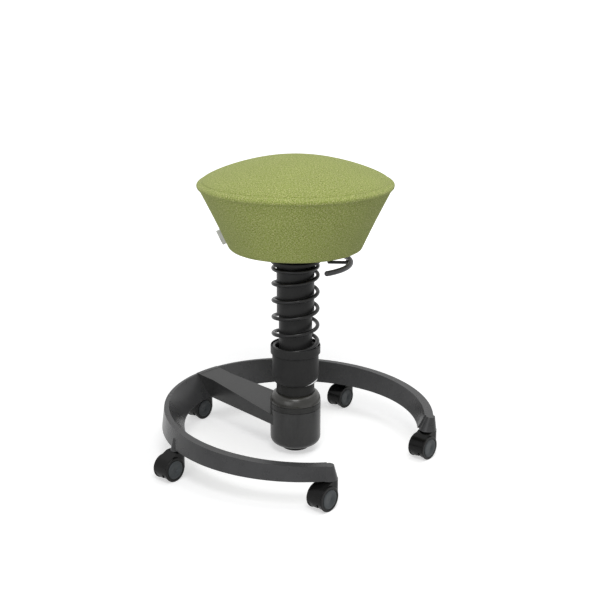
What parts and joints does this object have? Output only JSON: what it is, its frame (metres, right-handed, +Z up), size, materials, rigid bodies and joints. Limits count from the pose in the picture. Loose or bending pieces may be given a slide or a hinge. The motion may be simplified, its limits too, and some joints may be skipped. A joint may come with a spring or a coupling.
{
  "type": "balance stool",
  "caption": "Active sitting stool: round upholstered seat on a telescopic column with a coil spring and a sway joint, standing on a C-shaped ring base with twin-wheel castors.",
  "frame": {"origin": "on the floor under the column's axis", "axes": "+Z up, +Y from the column towards the arm's far end, the ring's opening towards -Y, +X to the right when looking along +Y"},
  "size_m": [0.5254, 0.4836, 0.5516],
  "materials": {
    "cast": "die-cast aluminium, fine-texture anthracite powder coat",
    "steel_black": "blackened steel screws",
    "plastic": "matt black moulded plastic",
    "plastic_black": "satin black moulded plastic",
    "bronze": "plain bearing bronze",
    "steel": "zinc-plated steel",
    "steel_bright": "polished steel",
    "rubber": "black rubber",
    "boot_rubber": "semi-gloss black rubber",
    "tube_steel": "black powder-coated steel tube",
    "bush": "natural acetal",
    "spring_steel": "black epoxy-coated spring steel",
    "aluminium": "turned aluminium",
    "chrome": "hard chrome",
    "hub_metal": "black-coated die-cast aluminium",
    "lever_steel": "black-coated steel rod",
    "grip": "dark grey plastic-covered rod",
    "plywood": "birch plywood",
    "foam": "cut polyurethane foam",
    "cover": "heathered yellow-green woven wool-like fabric",
    "tag": "blank woven tag",
    "castor_hood": "glossy black nylon",
    "castor_wheel": "black nylon wheel with a dark grey cap"
  },
  "bodies": {
    "base": {"ring": "cast", "arm_housing": "cast", "arm_bolts": "steel_black", "ball_post": "steel", "sway_rubber": "rubber", "clamp_band": "plastic", "boot": "boot_rubber"},
    "sway_knob": {"sway_knob": "plastic"},
    "pressure_pad": {"pressure_pad": "bronze"},
    "sway_ball": {"sway_ball": "steel_bright"},
    "column": {"column_foot": "plastic_black", "lower_tube": "tube_steel", "upper_bush": "bush"},
    "adjuster": {"adjuster_cup": "plastic_black"},
    "upper_column": {"upper_tube": "tube_steel", "lower_bush": "plastic_black", "spring_plate": "plastic_black", "tube_cap": "aluminium", "support_tube": "steel"},
    "piston": {"piston_rod": "chrome", "rod_clip": "steel"},
    "seat": {"gas_cylinder": "tube_steel", "seat_hub": "hub_metal", "hub_screws": "steel", "lever_pin": "steel", "seat_board": "plywood", "seat_foam": "foam", "cover_side": "cover", "cover_crown": "cover", "seat_tag": "tag"},
    "lever": {"lever_arm": "lever_steel", "lever_grip": "grip"},
    "valve": {"valve_pin": "steel"},
    "spring_seat": {"spring_seat": "steel", "coil_spring": "spring_steel"},
    "castor1": {"castor1_hood": "castor_hood", "castor1_stem": "steel", "castor1_axle": "steel"},
    "castor1_in": {"castor1_wheel_inner": "castor_wheel"},
    "castor1_out": {"castor1_wheel_outer": "castor_wheel"},
    "castor2": {"castor2_hood": "castor_hood", "castor2_stem": "steel", "castor2_axle": "steel"},
    "castor2_in": {"castor2_wheel_inner": "castor_wheel"},
    "castor2_out": {"castor2_wheel_outer": "castor_wheel"},
    "castor3": {"castor3_hood": "castor_hood", "castor3_stem": "steel", "castor3_axle": "steel"},
    "castor3_in": {"castor3_wheel_inner": "castor_wheel"},
    "castor3_out": {"castor3_wheel_outer": "castor_wheel"},
    "castor4": {"castor4_hood": "castor_hood", "castor4_stem": "steel", "castor4_axle": "steel"},
    "castor4_in": {"castor4_wheel_inner": "castor_wheel"},
    "castor4_out": {"castor4_wheel_outer": "castor_wheel"},
    "castor5": {"castor5_hood": "castor_hood", "castor5_stem": "steel", "castor5_axle": "steel"},
    "castor5_in": {"castor5_wheel_inner": "castor_wheel"},
    "castor5_out": {"castor5_wheel_outer": "castor_wheel"}
  },
  "joints": [
    {"name": "tilt_x", "type": "hinge", "parent": "base", "child": "sway_ball", "pos_m": [0, 0, 0.058], "axis": [1, 0, 0], "range_deg": [-8, 8], "stiffness_Nm_per_rad": 220, "deforming": ["sway_rubber", "boot"]},
    {"name": "tilt_y", "type": "hinge", "parent": "sway_ball", "child": "column", "pos_m": [0, 0, 0.058], "axis": [0, 1, 0], "range_deg": [-8, 8], "stiffness_Nm_per_rad": 220, "deforming": ["sway_rubber", "boot"]},
    {"name": "sway_knob_turn", "type": "hinge", "parent": "base", "child": "sway_knob", "pos_m": [0, 0, 0.0045], "axis": [0, 0, 1], "range_deg": [-360, 0]},
    {"name": "pad_slide", "type": "slide", "parent": "base", "child": "pressure_pad", "axis": [0, 0, 1], "range_m": [-0.003, 0]},
    {"name": "cup_turn", "type": "hinge", "parent": "column", "child": "adjuster", "pos_m": [0, 0, 0.14], "axis": [0, 0, 1], "range_deg": [0, 1080]},
    {"name": "preload_slide", "type": "slide", "parent": "column", "child": "spring_seat", "axis": [0, 0, 1], "range_m": [0, 0.009]},
    {"name": "bounce", "type": "slide", "parent": "spring_seat", "child": "upper_column", "axis": [0, 0, 1], "range_m": [-0.06, 0], "stiffness_N_per_m": 10700, "springref_m": 0.02, "deforming": ["coil_spring"]},
    {"name": "seat_swivel", "type": "hinge", "parent": "upper_column", "child": "piston", "pos_m": [0, 0, 0.165], "axis": [0, 0, 1], "continuous": true},
    {"name": "seat_lift", "type": "slide", "parent": "piston", "child": "seat", "axis": [0, 0, 1], "range_m": [0, 0.12]},
    {"name": "lever_turn", "type": "hinge", "parent": "seat", "child": "lever", "pos_m": [0.01478, -0.01891, 0.4396], "axis": [-0.788, -0.6157, 0], "range_deg": [0, 7], "stiffness_Nm_per_rad": 1.5, "springref_deg": -11.46},
    {"name": "valve_press", "type": "slide", "parent": "seat", "child": "valve", "axis": [0, 0, -1], "range_m": [0, 0.0029]},
    {"name": "castor1_swivel", "type": "hinge", "parent": "base", "child": "castor1", "pos_m": [0, 0.2465, 0.05], "axis": [0, 0, 1], "continuous": true},
    {"name": "castor1_in_roll", "type": "hinge", "parent": "castor1", "child": "castor1_in", "pos_m": [-0.0157, 0.2465, 0.022], "axis": [0, 1, 0], "continuous": true},
    {"name": "castor1_out_roll", "type": "hinge", "parent": "castor1", "child": "castor1_out", "pos_m": [-0.0157, 0.2465, 0.022], "axis": [0, 1, 0], "continuous": true},
    {"name": "castor2_swivel", "type": "hinge", "parent": "base", "child": "castor2", "pos_m": [-0.23509, 0.07412, 0.05], "axis": [0, 0, 1], "continuous": true},
    {"name": "castor2_in_roll", "type": "hinge", "parent": "castor2", "child": "castor2_in", "pos_m": [-0.25079, 0.07412, 0.022], "axis": [0, 1, 0], "continuous": true},
    {"name": "castor2_out_roll", "type": "hinge", "parent": "castor2", "child": "castor2_out", "pos_m": [-0.25079, 0.07412, 0.022], "axis": [0, 1, 0], "continuous": true},
    {"name": "castor3_swivel", "type": "hinge", "parent": "base", "child": "castor3", "pos_m": [-0.14139, -0.20192, 0.05], "axis": [0, 0, 1], "continuous": true},
    {"name": "castor3_in_roll", "type": "hinge", "parent": "castor3", "child": "castor3_in", "pos_m": [-0.15709, -0.20192, 0.022], "axis": [0, 1, 0], "continuous": true},
    {"name": "castor3_out_roll", "type": "hinge", "parent": "castor3", "child": "castor3_out", "pos_m": [-0.15709, -0.20192, 0.022], "axis": [0, 1, 0], "continuous": true},
    {"name": "castor4_swivel", "type": "hinge", "parent": "base", "child": "castor4", "pos_m": [0.14139, -0.20192, 0.05], "axis": [0, 0, 1], "continuous": true},
    {"name": "castor4_in_roll", "type": "hinge", "parent": "castor4", "child": "castor4_in", "pos_m": [0.12569, -0.20192, 0.022], "axis": [0, 1, 0], "continuous": true},
    {"name": "castor4_out_roll", "type": "hinge", "parent": "castor4", "child": "castor4_out", "pos_m": [0.12569, -0.20192, 0.022], "axis": [0, 1, 0], "continuous": true},
    {"name": "castor5_swivel", "type": "hinge", "parent": "base", "child": "castor5", "pos_m": [0.23509, 0.07412, 0.05], "axis": [0, 0, 1], "continuous": true},
    {"name": "castor5_in_roll", "type": "hinge", "parent": "castor5", "child": "castor5_in", "pos_m": [0.21939, 0.07412, 0.022], "axis": [0, 1, 0], "continuous": true},
    {"name": "castor5_out_roll", "type": "hinge", "parent": "castor5", "child": "castor5_out", "pos_m": [0.21939, 0.07412, 0.022], "axis": [0, 1, 0], "continuous": true}
  ],
  "couplings": [
    {"joint": "sway_knob_turn", "follows": "pad_slide", "rad_per_m": 2094.4},
    {"joint": "preload_slide", "follows": "cup_turn", "m_per_rad": 0.00047746},
    {"joint": "lever_turn", "follows": "valve_press", "rad_per_m": 41.667}
  ]
}
